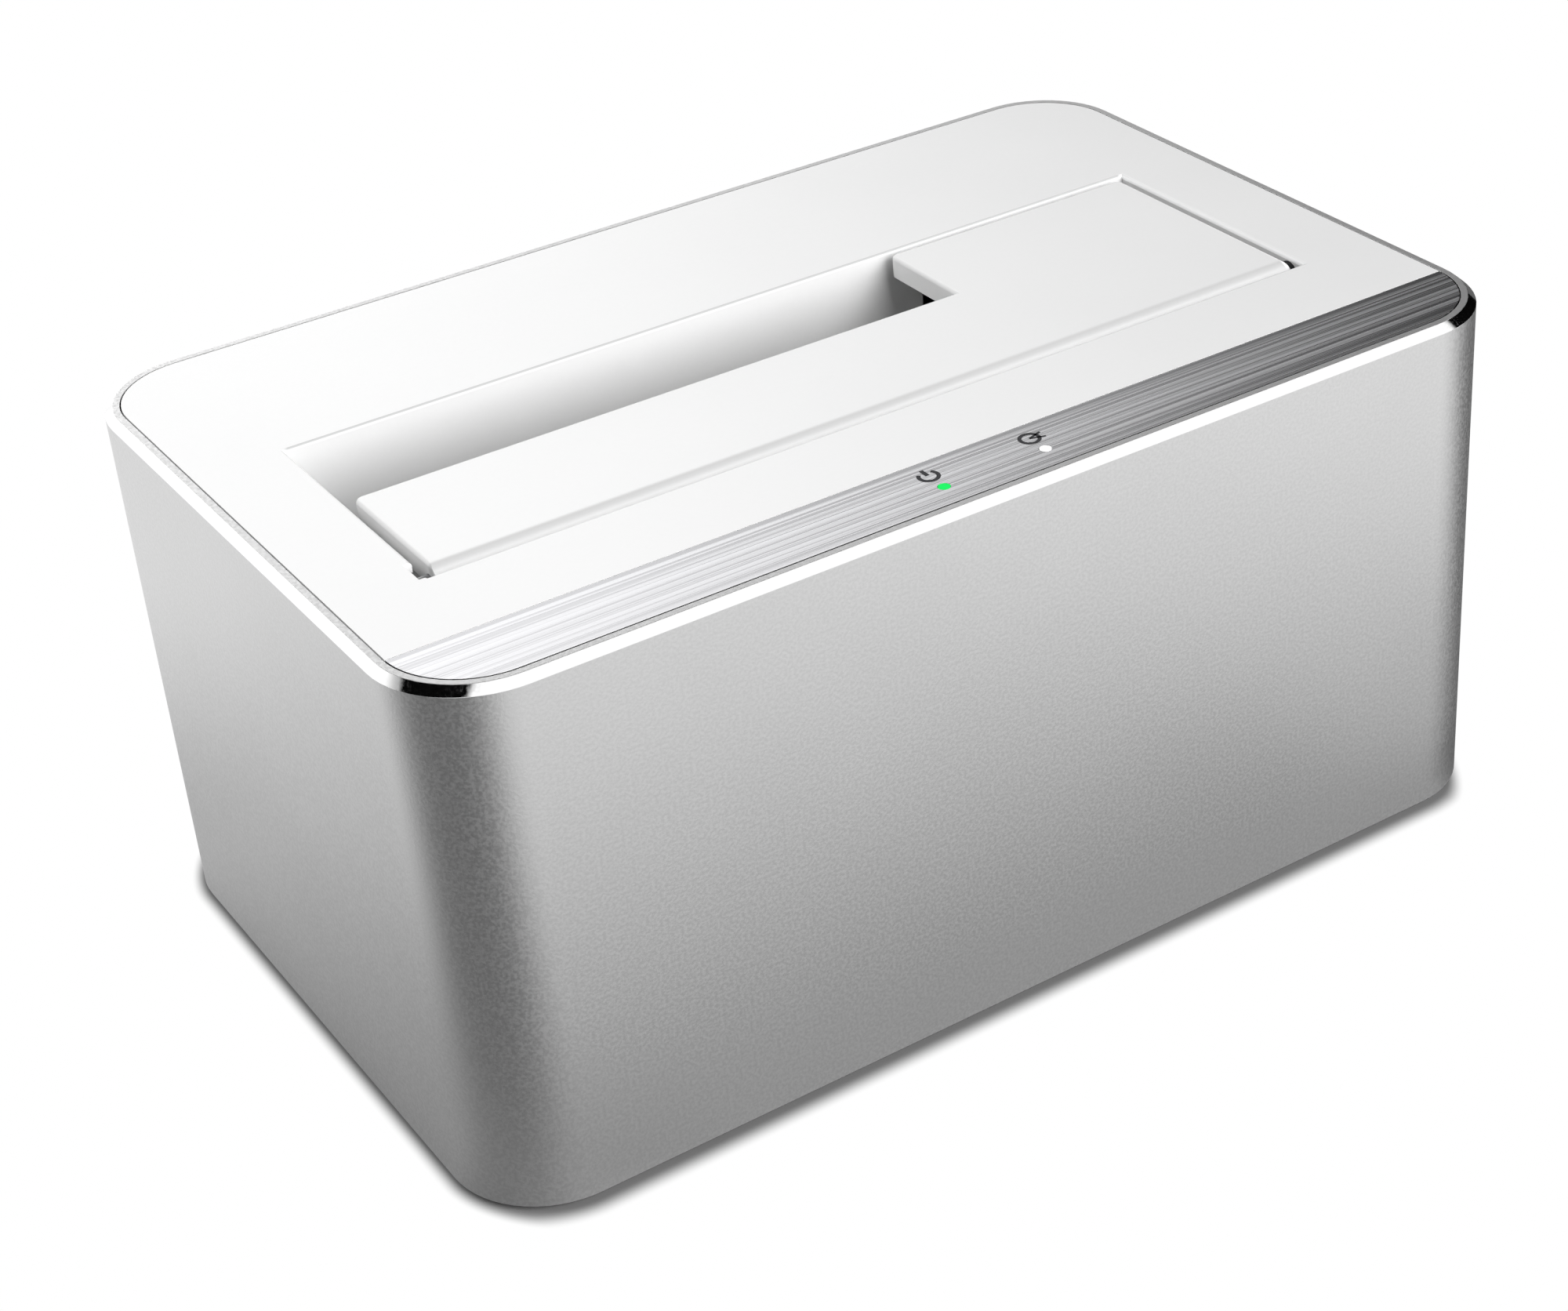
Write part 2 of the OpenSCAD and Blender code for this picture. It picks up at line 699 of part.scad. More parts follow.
module flap_spring() {
  far = rings_per_turn / 2;
  gaps = [
    for (i = [0:len(spring_path) - 1], j = [0:len(spring_path) - 1])
      if (j - i >= far) norm(spring_path[i] - spring_path[j]) - spring_wire
  ];
  echo(str("flap_spring least gap to itself ", min(gaps), " mm"));
  color("slategray") wire(spring_path);
}

module drive_well() {
  grown = well_wall + lip_gap + lip_t;
  color("white") difference() {
    union() {
      slot_block(well_wall, floor_z, collar_z);
      slot_block(grown, collar_z - lip_t, lug_top);
      at_lugs() translate([0, 0, lug_z]) cylinder(r = lug_r, h = lug_t);
      for (x = [-0.6, -0.2, 0.2, 0.6] * slot_w / 2)
        block(x - rib_w / 2, x + rib_w / 2, slot_front - grown, slot_back + grown, floor_z, collar_z - lip_t);
    }
    slot_block(0, floor_top, lug_top + cut);
    slot_block(well_wall + lip_gap, collar_z, lug_top + cut);
    at_lugs() translate([0, 0, lug_z - cut]) cylinder(r = small_screw_r + screw_pass, h = lug_t + 2 * cut);
    block(sata_x - sata_w / 2 - sata_clear, sata_x + sata_w / 2 + sata_clear,
      sata_y - sata_d / 2 - sata_clear, sata_y + sata_d / 2 + sata_clear, floor_z - cut, floor_top + cut);
    for (i = [0:vent_count - 1])
      translate([slot_w / 4, (slot_front + slot_back) / 2, floor_z - cut])
        vent(i, well_floor_t + 2 * cut);
  }
}

// One slot of a row of vents, with round ends
module vent(i, h) {
  translate([(i - (vent_count - 1) / 2) * 2 * vent_w, 0, 0])
    linear_extrude(h) round_rect(vent_w, vent_l, vent_w * 0.45);
}

module well_screws() {
  color("dimgray") at_lugs() translate([0, 0, lug_z]) screw_up(small_screw_r, lug_t + small_screw_l);
}

// Outline of one keyed slot in the drive socket, its key at the right end
module keyed_slot(l) {
  translate([-l / 2, -sata_slot_d / 2]) square([l, sata_slot_d]);
  translate([l / 2 - sata_slot_d / 2, -sata_slot_d]) square([sata_slot_d / 2, sata_slot_d]);
}

// Places of the data and the power slot from the drive socket's middle, and their counts of contacts
sata_rows = [[-11.8, 7], [9, 15]];
sata_row_end = 1.7;
function sata_row_l(count) = (count - 1) * sata_pitch + 2 * sata_row_end;

module sata_socket() {
  edge = sata_d / 8;
  color("darkslategray") translate([sata_x, sata_y, 0]) difference() {
    along_x(-sata_w / 2, sata_w / 2) polygon([
      [-sata_d / 2, board_top], [sata_d / 2, board_top], [sata_d / 2, sata_top - edge],
      [sata_d / 2 - edge, sata_top], [edge - sata_d / 2, sata_top], [-sata_d / 2, sata_top - edge]
    ]);
    for (row = sata_rows)
      translate([row[0], 0, sata_top - sata_slot_depth])
        linear_extrude(sata_slot_depth + cut) keyed_slot(sata_row_l(row[1]));
    for (side = [-1, 1])
      translate([side * sata_w / 2, 0, sata_top - sata_slot_depth])
        cylinder(r = sata_slot_d / 2, h = sata_slot_depth + cut);
  }
}

module sata_contacts() {
  blade_w = sata_pitch / 2;
  blade_t = sata_slot_d / 5;
  color("gold") for (row = sata_rows, i = [0:row[1] - 1])
    translate([
      sata_x + row[0] + (i - (row[1] - 1) / 2) * sata_pitch - blade_w / 2,
      sata_y + sata_slot_d / 2 - blade_t,
      sata_top - sata_slot_depth
    ]) cube([blade_w, blade_t, sata_slot_depth * 0.85]);
}

module main_board() {
  color("darkgreen") difference() {
    translate([0, 0, board_z]) linear_extrude(board_t) round_rect(board_w, board_d, board_t);
    at_corners(post_x, post_y)
      translate([0, 0, board_z - cut]) cylinder(r = small_screw_r + screw_pass, h = board_t + 2 * cut);
  }
}

// Moulded chip package with rows of gull-wing legs along its long sides
module leaded_chip(place, size, legs) {
  w = size.x;
  d = size.y;
  h = size.z;
  leg_w = w / legs / 2.4;
  span = d * 4 / 3;
  translate([place.x, place.y, board_top]) {
    translate([-w / 2, -d / 2, h / 6]) cube([w, d, h * 5 / 6]);
    for (i = [0:legs - 1]) translate([(i + 0.5) * w / legs - w / 2 - leg_w / 2, 0, 0]) difference() {
      translate([0, -span / 2, 0]) cube([leg_w, span, h / 2]);
      translate([-cut, -d / 2, -cut]) cube([leg_w + 2 * cut, d, h / 6 + cut]);
    }
  }
}

// Place on the board, from its right end and from its middle line
function on_board(from_end, from_middle) = [board_w / 2 - from_end, from_middle];

// Parts on the board: places and sizes
bridge_place = on_board(35.8, 0);
bridge_side = 9;
bridge_h = 0.9;
bridge_pads = 14;
memory_place = on_board(23.8, -10);
memory_size = [4.9, 3.9, 1.5];
memory_legs = 4;
regulator_place = on_board(19.8, 12);
regulator_size = [5.2, 4, 1.6];
regulator_legs = 3;
coil_place = on_board(9.8, 12);
coil_side = 6.6;
coil_h = 3;
can_r = 3.15;
can_h = 7.7;
can_foot = 0.1;
can_pitch = 8.5;
can_places = [for (i = [1, 2]) [i * can_pitch - post_x - can_foot, post_y - can_r]];
crystal_place = on_board(45.8, -8);
crystal_size = [5, 3.2];
crystal_base_h = 0.5;
crystal_can_h = 0.6;
crystal_step = 0.25;
led_size = [2.8, 2.6];
led_h = 1.9;
led_gap = 0.3;
led_cup = 0.4;
pipe_collar_t = 0.8;

module bridge_chip() {
  pad = bridge_side / (bridge_pads + 2);
  color("black") translate([bridge_place.x, bridge_place.y, board_top]) {
    translate([-bridge_side / 2, -bridge_side / 2, bridge_h / 10])
      cube([bridge_side, bridge_side, bridge_h * 0.9]);
    for (turn = [0:90:270], i = [0:bridge_pads - 1])
      rotate(turn)
        translate([(i - (bridge_pads - 1) / 2) * pad - pad / 4, -bridge_side / 2, 0])
          cube([pad / 2, pad, bridge_h / 10]);
  }
}

module memory_chip() {
  color("black") leaded_chip(memory_place, memory_size, memory_legs);
}

module regulator_chip() {
  color("black") leaded_chip(regulator_place, regulator_size, regulator_legs);
}

module power_coil() {
  color("dimgray") translate([coil_place.x, coil_place.y, board_top]) difference() {
    linear_extrude(coil_h) round_rect(coil_side, coil_side, coil_side / 5);
    translate([0, 0, coil_h * 0.9]) cylinder(r = coil_side * 0.36, h = coil_h);
  }
}

module capacitors() {
  foot = can_h / 8;
  side = can_r + can_foot;
  color("lightgray") for (p = can_places) translate([p.x, p.y, board_top]) {
    translate([-side, -side, 0]) cube([2 * side, 2 * side, foot]);
    translate([0, 0, foot]) rotate_extrude() polygon(concat(
      [[0, 0], [can_r, 0], [can_r, can_h * 0.18], [can_r * 0.92, can_h * 0.22], [can_r, can_h * 0.26]],
      arc(can_r * 0.9, can_h - foot - can_r * 0.1, can_r * 0.1, 0, 90),
      [[0, can_h - foot]]
    ));
  }
}

module crystal() {
  color("silver") translate([crystal_place.x, crystal_place.y, board_top]) {
    linear_extrude(crystal_base_h) round_rect(crystal_size.x, crystal_size.y, 2 * crystal_step);
    translate([0, 0, crystal_base_h]) linear_extrude(crystal_can_h)
      round_rect(crystal_size.x - 2 * crystal_step, crystal_size.y - 2 * crystal_step, 2 * crystal_step);
  }
}

// Surface lamp: a square body with a round lens cup
module lamp(x) {
  translate([x, light_y, board_top]) difference() {
    translate([-led_size.x / 2, -led_size.y / 2, 0]) cube([led_size.x, led_size.y, led_h]);
    translate([0, 0, led_h - led_cup])
      cylinder(r1 = led_size.y * 0.3, r2 = led_size.y * 0.42, h = 2 * led_cup);
  }
}

module power_led() {
  color("palegreen") lamp(-light_x);
}

module activity_led() {
  color("white") lamp(light_x);
}

// Opening of the data socket: a tall lower part with cut corners, and a narrower one over it
usb_depth = 9.4;
usb_lower_w = 8.6;
usb_lower_h = 7.5;
usb_corner = 1.2;
usb_upper_w = 5.8;
usb_upper_h = 2.9;
usb_low = -(usb_lower_h + usb_upper_h) / 2;
usb_step = usb_low + usb_lower_h;
// Insulator in it: a plate, a thick tongue and a thin one over it
usb_plate_t = 1;
usb_tongue_l = 8;
usb_tongue_w = 5.6;
usb_tongue_t = 3.2;
usb_tongue_z = usb_low + 1.7;
usb_thin_w = 4.8;
usb_thin_t = 1;
usb_thin_z = usb_step + 0.5;
// Contacts on the tongues
usb_contact_t = 0.2;
usb_contact_w = 1.2;
usb_contact_x = 1.25;
usb_thin_contact_w = 0.5;
usb_thin_pitch = 0.85;

// Outline of the data socket's opening, grown on all sides
module usb_opening(grow) {
  lower = usb_lower_w / 2 + grow;
  upper = usb_upper_w / 2 + grow;
  low = usb_low - grow;
  step = usb_step + grow;
  high = usb_step + usb_upper_h + grow;
  polygon([
    [-lower, low], [lower, low], [lower, step - usb_corner], [lower - usb_corner, step],
    [upper, step], [upper, high], [-upper, high], [-upper, step],
    [usb_corner - lower, step], [-lower, step - usb_corner]
  ]);
}

module usb_shell() {
  color("silver") translate([usb_x, 0, usb_mid]) difference() {
    along_y(socket_face - usb_l, socket_face) round_rect(usb_w, usb_h, usb_round);
    along_y(socket_face - usb_depth, socket_face + cut) usb_opening(0);
  }
}

module usb_tongue() {
  back = socket_face - usb_depth;
  color("royalblue") translate([usb_x, 0, usb_mid]) {
    along_y(back, back + usb_plate_t) usb_opening(-fit_gap);
    block(-usb_tongue_w / 2, usb_tongue_w / 2, back, back + usb_tongue_l,
      usb_tongue_z, usb_tongue_z + usb_tongue_t);
    block(-usb_thin_w / 2, usb_thin_w / 2, back, back + usb_tongue_l, usb_thin_z, usb_thin_z + usb_thin_t);
  }
}

module usb_contacts() {
  back = socket_face - usb_depth + usb_plate_t;
  front = socket_face - usb_depth + usb_tongue_l - usb_plate_t;
  color("gold") translate([usb_x, 0, usb_mid]) {
    for (x = [-usb_contact_x, usb_contact_x], z = [usb_tongue_z - usb_contact_t, usb_tongue_z + usb_tongue_t])
      block(x - usb_contact_w / 2, x + usb_contact_w / 2, back, front, z, z + usb_contact_t);
    for (i = [-2:2])
      translate([i * usb_thin_pitch, 0, usb_thin_z - usb_contact_t])
        block(-usb_thin_contact_w / 2, usb_thin_contact_w / 2, back, front, 0, usb_contact_t);
  }
}

// Round along the upright edges of the power socket and the switch
block_round = 0.6;
// Power socket: depth of its bore, the leaf contact in a groove under it, and the pin's round tip
jack_bore_l = 9.5;
jack_leaf_t = 0.3;
jack_leaf_gap = 0.1;
jack_leaf_l = 7;
jack_leaf_z = jack_mid - jack_bore_r - jack_leaf_t - jack_leaf_gap;
jack_tip = socket_face - 1.2 * jack_pin_r;

module jack_body() {
  color("black") translate([jack_x, 0, 0]) difference() {
    union() {
      along_y(inner_back - jack_l, inner_back) translate([0, board_top + jack_h / 2])
        round_rect(jack_w, jack_h, block_round);
      along_y(inner_back - cut, socket_face) translate([0, jack_mid]) circle(jack_nose_r);
    }
    along_y(socket_face - jack_bore_l, socket_face + cut) translate([0, jack_mid]) circle(jack_bore_r);
    block(-jack_pin_r, jack_pin_r, socket_face - jack_bore_l,
      socket_face - jack_bore_l + jack_leaf_l + jack_leaf_gap, jack_leaf_z, jack_mid);
  }
}

module jack_pin() {
  color("silver") translate([jack_x, 0, 0]) {
    along_y(socket_face - jack_bore_l, jack_tip) translate([0, jack_mid]) circle(jack_pin_r);
    translate([0, jack_tip, jack_mid]) sphere(jack_pin_r);
  }
}

// Leaf contact in the groove under the bore
module jack_spring() {
  half = jack_pin_r - jack_leaf_gap;
  color("silver") translate([jack_x, socket_face - jack_bore_l, jack_leaf_z])
    block(-half, half, 0, jack_leaf_l, 0, jack_leaf_t);
}

// Round button with a flange behind the sleeve's wall and a dished face
module power_button() {
  face = back_face - button_recess;
  dish_r = (pow(button_r, 2) + pow(button_dish, 2)) / (2 * button_dish);
  color("dimgray") translate([button_x, 0, switch_mid]) difference() {
    union() {
      along_y(flange_back, face) circle(button_r);
      along_y(flange_back, flange_back + button_flange_t) circle(button_r + button_flange);
    }
    translate([0, face - button_dish + dish_r, 0]) sphere(dish_r, $fn = 96);
  }
}

module switch_plunger() {
  color("white") translate([button_x, 0, switch_mid])
    along_y(switch_face - switch_l / 2, flange_back) circle(plunger_r);
}

module switch_body() {
  color("dimgray") translate([button_x, 0, switch_mid]) difference() {
    along_y(switch_face - switch_l, switch_face)
      round_rect(switch_w, 2 * (switch_mid - board_top), block_round);
    along_y(switch_face - switch_l / 2 - button_travel - cut, switch_face + cut)
      circle(plunger_r + plunger_clear);
  }
}

module base_plate() {
  head_r = base_screw_r * head_r_ratio;
  head_h = base_screw_r * head_h_ratio;
  color("dimgray") difference() {
    union() {
      inset_plate(rim + seat_gap, foot_proud, base_top);
      at_corners(pillar_x, pillar_y)
        translate([0, 0, foot_proud]) cylinder(r = boss_r, h = boss_top - foot_proud);
      at_corners(post_x, post_y) translate([0, 0, foot_proud]) cylinder(r = post_r, h = board_z - foot_proud);
      for (y = [-post_y, post_y])
        block(-post_x, post_x, y - rib_w / 2, y + rib_w / 2, foot_proud, base_top + boss_h);
    }
    at_corners(pillar_x, pillar_y) {
      translate([0, 0, foot_proud - cut]) cylinder(r = base_screw_r + screw_pass, h = boss_top);
      translate([0, 0, foot_proud - cut]) cylinder(r = head_r + screw_pass, h = cut + head_sink + head_h);
    }
    at_corners(post_x, post_y)
      translate([0, 0, board_z - small_screw_l - cut])
        cylinder(r = small_screw_r, h = small_screw_l + 2 * cut);
    at_corners(foot_x, foot_y)
      translate([0, 0, foot_proud - cut]) cylinder(r = foot_r + seat_gap, h = foot_set + cut);
    for (side = [-1, 1], i = [0:vent_count - 1])
      translate([side * body_w / 5, 0, foot_proud - cut]) vent(i, base_t + 2 * cut);
  }
}

module rubber_feet() {
  round = foot_proud / 2;
  color("black") at_corners(foot_x, foot_y) rotate_extrude() polygon(concat(
    [[0, 0]],
    arc(foot_r - round, round, round, -90, 0),
    [[foot_r, foot_proud + foot_set], [0, foot_proud + foot_set]]
  ));
}

module base_screws() {
  head_h = base_screw_r * head_h_ratio;
  seat = foot_proud + head_sink + head_h;
  color("dimgray") at_corners(pillar_x, pillar_y)
    translate([0, 0, seat]) screw_up(base_screw_r, boss_top - seat + base_screw_l);
}

module board_screws() {
  color("dimgray") at_corners(post_x, post_y)
    translate([0, 0, board_top]) mirror([0, 0, 1]) screw_up(small_screw_r, board_t + small_screw_l);
}

sleeve();
top_panel();
trim_strip();
power_light_pipe();
activity_light_pipe();
drive_flap();
hinge_rod();
hinge_bushes();
flap_spring();
drive_well();
well_screws();
sata_socket();
sata_contacts();
main_board();
bridge_chip();
memory_chip();
regulator_chip();
power_coil();
capacitors();
crystal();
power_led();
activity_led();
usb_shell();
usb_tongue();
usb_contacts();
jack_body();
jack_pin();
jack_spring();
power_button();
switch_plunger();
switch_body();
base_plate();
rubber_feet();
base_screws();
board_screws();
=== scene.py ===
"""Looks of the drive dock: blasted metal sleeve, white top with its flap, brushed strip, printed signs,
screws, closing spring, and the studio they stand in."""

import math

import bpy
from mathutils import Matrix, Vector


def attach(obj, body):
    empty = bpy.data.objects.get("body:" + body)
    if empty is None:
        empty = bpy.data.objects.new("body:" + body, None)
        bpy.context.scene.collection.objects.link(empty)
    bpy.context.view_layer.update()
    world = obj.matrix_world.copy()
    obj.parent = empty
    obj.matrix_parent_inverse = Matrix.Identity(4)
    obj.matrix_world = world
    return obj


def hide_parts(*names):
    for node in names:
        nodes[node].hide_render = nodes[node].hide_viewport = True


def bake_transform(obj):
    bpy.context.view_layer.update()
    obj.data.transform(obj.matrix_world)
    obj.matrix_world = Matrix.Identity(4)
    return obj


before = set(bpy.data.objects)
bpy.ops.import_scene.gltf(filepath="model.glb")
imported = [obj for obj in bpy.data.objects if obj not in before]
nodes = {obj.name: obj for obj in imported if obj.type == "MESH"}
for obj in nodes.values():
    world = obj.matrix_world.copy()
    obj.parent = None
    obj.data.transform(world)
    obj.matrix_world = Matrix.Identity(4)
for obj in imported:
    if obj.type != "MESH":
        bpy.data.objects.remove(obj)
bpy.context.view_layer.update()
scene = bpy.context.scene

# Pieces are placed in millimetres, and finishes and the floor are painted in metres
MM = 0.001
TOP = 59.0
HINGE = Vector((0, -16.7, 57.0))
CORNER_X, CORNER_Y, CORNER_R = 0.0525, 0.0295, 0.0105
BLACK = (0, 0, 0)


# ---------------------------------------------------------------- shader sums

class Signal:
    """One socket of a shader tree. Sums on signals add Math nodes."""

    def __init__(self, tree, socket=None):
        self.tree = tree
        self.socket = socket

    def node(self, kind, settings=None, inputs=None, output=0):
        """Adds a node: its settings first, then the values or links of its sockets."""
        made = self.tree.nodes.new(kind)
        for name, value in (settings or {}).items():
            setattr(made, name, value)
        for place, value in (inputs or {}).items():
            if isinstance(value, Signal):
                self.tree.links.new(value.socket, made.inputs[place])
            else:
                made.inputs[place].default_value = value
        return Signal(self.tree, made.outputs[output])

    def maths(self, operation, *values):
        return self.node("ShaderNodeMath", {"operation": operation}, dict(enumerate(values)))

    def __add__(self, other): return self.maths("ADD", self, other)
    def __radd__(self, other): return self.maths("ADD", other, self)
    def __sub__(self, other): return self.maths("SUBTRACT", self, other)
    def __rsub__(self, other): return self.maths("SUBTRACT", other, self)
    def __mul__(self, other): return self.maths("MULTIPLY", self, other)
    def __rmul__(self, other): return self.maths("MULTIPLY", other, self)
    def __truediv__(self, other): return self.maths("DIVIDE", self, other)
    def __rtruediv__(self, other): return self.maths("DIVIDE", other, self)
    def __abs__(self): return self.maths("ABSOLUTE", self)

    def over(self, other): return self.maths("MAXIMUM", self, other)
    def root(self): return self.maths("SQRT", self)

    def rise(self, low, high):
        """0 below low, 1 above high, and a soft step between them."""
        return self.node("ShaderNodeMapRange", {"interpolation_type": "SMOOTHSTEP"},
                         {0: self, 1: low, 2: high})

    def fall(self, low, high):
        """1 below low, 0 above high, and a soft step between them."""
        return 1 - self.rise(low, high)

    def band(self, low, full, fading, high):
        """0 outside low and high, and 1 from full to fading."""
        return self.rise(low, full) * self.fall(fading, high)

    def axes(self):
        """The x, y and z of a vector."""
        made = self.node("ShaderNodeSeparateXYZ", None, {0: self}).socket.node
        return [Signal(self.tree, socket) for socket in made.outputs]

    def stretch(self, x, y, z):
        return self.node("ShaderNodeVectorMath", {"operation": "MULTIPLY"}, {0: self, 1: (x, y, z)})

    def noise(self, scale, detail):
        return self.node("ShaderNodeTexNoise", None, {"Vector": self, "Scale": scale, "Detail": detail})

    def tint(self, low, high):
        """A colour between two, by this signal."""
        ends = [value if isinstance(value, Signal) else (*value, 1) for value in (low, high)]
        return self.node("ShaderNodeMix", {"data_type": "RGBA"}, {0: self, 6: ends[0], 7: ends[1]}, 2)

    def bump(self, strength, distance):
        return self.node("ShaderNodeBump", None, {"Height": self, "Strength": strength, "Distance": distance})


class Finish:
    """A material with one Principled shader, and the piece's own coordinates to paint it by."""

    def __init__(self, name, **steady):
        self.material = bpy.data.materials.new(name)
        self.material.use_nodes = True
        tree = self.material.node_tree
        self.shader = tree.nodes["Principled BSDF"]
        for socket, value in steady.items():
            self.shader.inputs[socket.replace("_", " ")].default_value = value
        self.place = Signal(tree).node("ShaderNodeTexCoord", output="Object")

    def feed(self, **signals):
        for socket, signal in signals.items():
            self.material.node_tree.links.new(signal.socket, self.shader.inputs[socket.replace("_", " ")])
        return self


def grey(level):
    return (level, level, level)


def shaded(colour, factor):
    return tuple(min(1.0, channel * factor) for channel in colour)


# ---------------------------------------------------------------- finishes

def blasted_aluminium():
    """Bead-blasted sides, a mirror-cut bevel round the top and a satin rim."""
    finish = Finish("blasted_aluminium", Metallic=1.0)
    height = finish.place.axes()[2]
    grain = finish.place.noise(2900, 2).rise(0.3, 0.7)
    cloud = finish.place.noise(60, 3)
    bevel = height.rise(0.05817, 0.05823)
    rim = height.rise(0.05895, 0.05899)
    sides = (grain * 0.7 + cloud * 0.3).tint(grey(0.66), grey(0.78))
    cut = bevel.tint(sides, grey(0.94))
    return finish.feed(
        Base_Color=rim.tint(cut, grey(0.86)),
        Roughness=0.36 + grain * 0.10 - bevel * 0.34 + rim * 0.44,
        Normal=(grain * (1 - bevel)).bump(0.25, 0.00002),
    )


def brushed_strip():
    """Brushed metal, with the brush lines along the strip. The lines fade at the left end, a painted stand-in
    for the bright reflection that washes them out there, and the tone is darker along the back, a painted
    shade.
    """
    finish = Finish("brushed_strip", Metallic=1.0)
    x, y, _ = finish.place.axes()
    fine = finish.place.stretch(0.003, 1, 1).noise(4400, 2)
    broad = finish.place.stretch(0.002, 1, 1).noise(1900, 2)
    # Painted light: the line contrast falls towards the left end, where a bright reflection would wash the
    # lines out
    depth = 0.5 + 0.5 * x.rise(-0.055, 0.0)
    brushed = 0.5 + ((fine * 0.45 + broad * 0.55).rise(0.41, 0.59) - 0.5) * depth
    # Painted shade: the tone is darker along the back of the strip
    lines = brushed * (1 - 0.5 * y.rise(-0.0309, -0.0301))
    return finish.feed(
        Base_Color=lines.tint((0.40, 0.40, 0.41), (0.975, 0.975, 0.995)),
        Roughness=0.25 + lines * 0.14,
        Normal=lines.bump(0.4, 0.00002),
    )


# The colour of a painted highlight, for edges painted paler than the plastic
PAINTED_HIGHLIGHT = grey(0.96)


def flap_painted_light_and_shade(place, tone):
    """The flap's rolled front edge has a band of painted shade, greyer than its face, and the top edge of its
    right end is painted paler, a painted highlight.
    """
    x, y, z = place.axes()
    # Painted shade: a greyer band across the rolled front edge
    roll = y.band(-0.01820, -0.01750, -0.01725, -0.01660) * z.rise(0.056, 0.057)
    # Painted highlight: the top edge of the flap's right end is painted paler
    end = x.band(0.05020, 0.05040, 0.05062, 0.05072) * z.rise(0.0584, 0.0586)
    return end.tint((roll * 0.28).tint(tone, BLACK), PAINTED_HIGHLIGHT)


def slot_painted_light_and_shade(place, tone):
    """The slot's rounded edge has painted shade along the back. At the right end its lip carries a painted
    highlight, over a wall with a painted shadow.
    """
    x, y, z = place.axes()
    between_ends = abs(x).fall(0.0512, 0.0517)
    # Painted shade along the back of the slot's rounded edge
    at_back = y.band(0.01266, 0.01274, 0.01290, 0.01298) * z.rise(0.0586, 0.0588) * between_ends
    at_right = x.band(0.05130, 0.05160, 0.05190, 0.05202) * abs(y + 0.0032).fall(0.0155, 0.0160)
    # At the right end: a painted highlight on the lip, and a painted shadow on the wall below it
    lip = z.rise(0.05848, 0.05862)
    wall = z.rise(0.05800, 0.05815) * (1 - lip)
    painted_shade = (at_right * wall * 0.3).tint((at_back * 0.30).tint(tone, BLACK), BLACK)
    return (at_right * lip).tint(painted_shade, PAINTED_HIGHLIGHT)


def moulded(name, colour, rough, peel=0.1, edges=None):
    """Moulded plastic or rubber: faint clouding, and a fine skin that scatters the gloss."""
    finish = Finish(name)
    skin = finish.place.noise(1800, 3)
    cloud = finish.place.noise(45, 3)
    paler = tuple(min(1.0, channel * 1.025 + 0.004) for channel in colour)
    tone = (cloud * 0.7 + skin * 0.3).tint(shaded(colour, 0.965), paler)
    return finish.feed(
        # The edges function paints light and shade into the colour: painted shade and painted highlights on
        # the flap and the slot
        Base_Color=edges(finish.place, tone) if edges else tone,
        Roughness=rough - 0.04 + skin * 0.05 + cloud * 0.05,
        Normal=skin.bump(peel, 0.00001),
    )


def plain_metal(name, colour, rough):
    """Drawn or turned metal: fine scratches and a slight change of tone."""
    finish = Finish(name, Metallic=1.0)
    scratch = finish.place.noise(2400, 4)
    cloud = finish.place.noise(240, 2)
    tone = scratch * 0.5 + cloud * 0.5
    return finish.feed(
        Base_Color=tone.tint(shaded(colour, 0.86), shaded(colour, 1.06)),
        Roughness=rough - 0.06 + tone * 0.14,
        Normal=scratch.bump(0.12, 0.00001),
    )


def lacquered_board():
    """Circuit board: lacquer over fine copper lines, with bare cut edges."""
    finish = Finish("lacquered_board")
    height = finish.place.axes()[2]
    weave = finish.place.noise(900, 2)
    lines = finish.place.node(
        "ShaderNodeTexWave", {"wave_type": "BANDS", "bands_direction": "DIAGONAL"},
        {"Vector": finish.place, "Scale": 260.0, "Distortion": 3.0, "Detail": 1.0, "Detail Scale": 0.6}, 1)
    copper = lines.rise(0.62, 0.72)
    edge = height.band(0.0080, 0.0081, 0.0095, 0.0096)
    face = copper.tint((0.012, 0.085, 0.045), (0.03, 0.17, 0.085))
    return finish.feed(
        Base_Color=(edge * (0.8 + weave * 0.2)).tint(face, (0.30, 0.32, 0.17)),
        Roughness=0.32 + weave * 0.12,
        Normal=copper.bump(0.3, 0.00002),
    )


def light_tip(name, dim, lit, strength):
    """A clear pipe whose flat end shows its lamp."""
    finish = Finish(name, Specular_IOR_Level=0.05, Emission_Strength=strength)
    haze = finish.place.noise(2200, 2)
    tip = finish.place.axes()[2].rise(0.05880, 0.05895)
    return finish.feed(
        Base_Color=tip.tint(haze.tint(grey(0.54), grey(0.70)), dim),
        Emission_Color=tip.tint(BLACK, lit),
        Roughness=0.16 + haze * 0.12,
    )


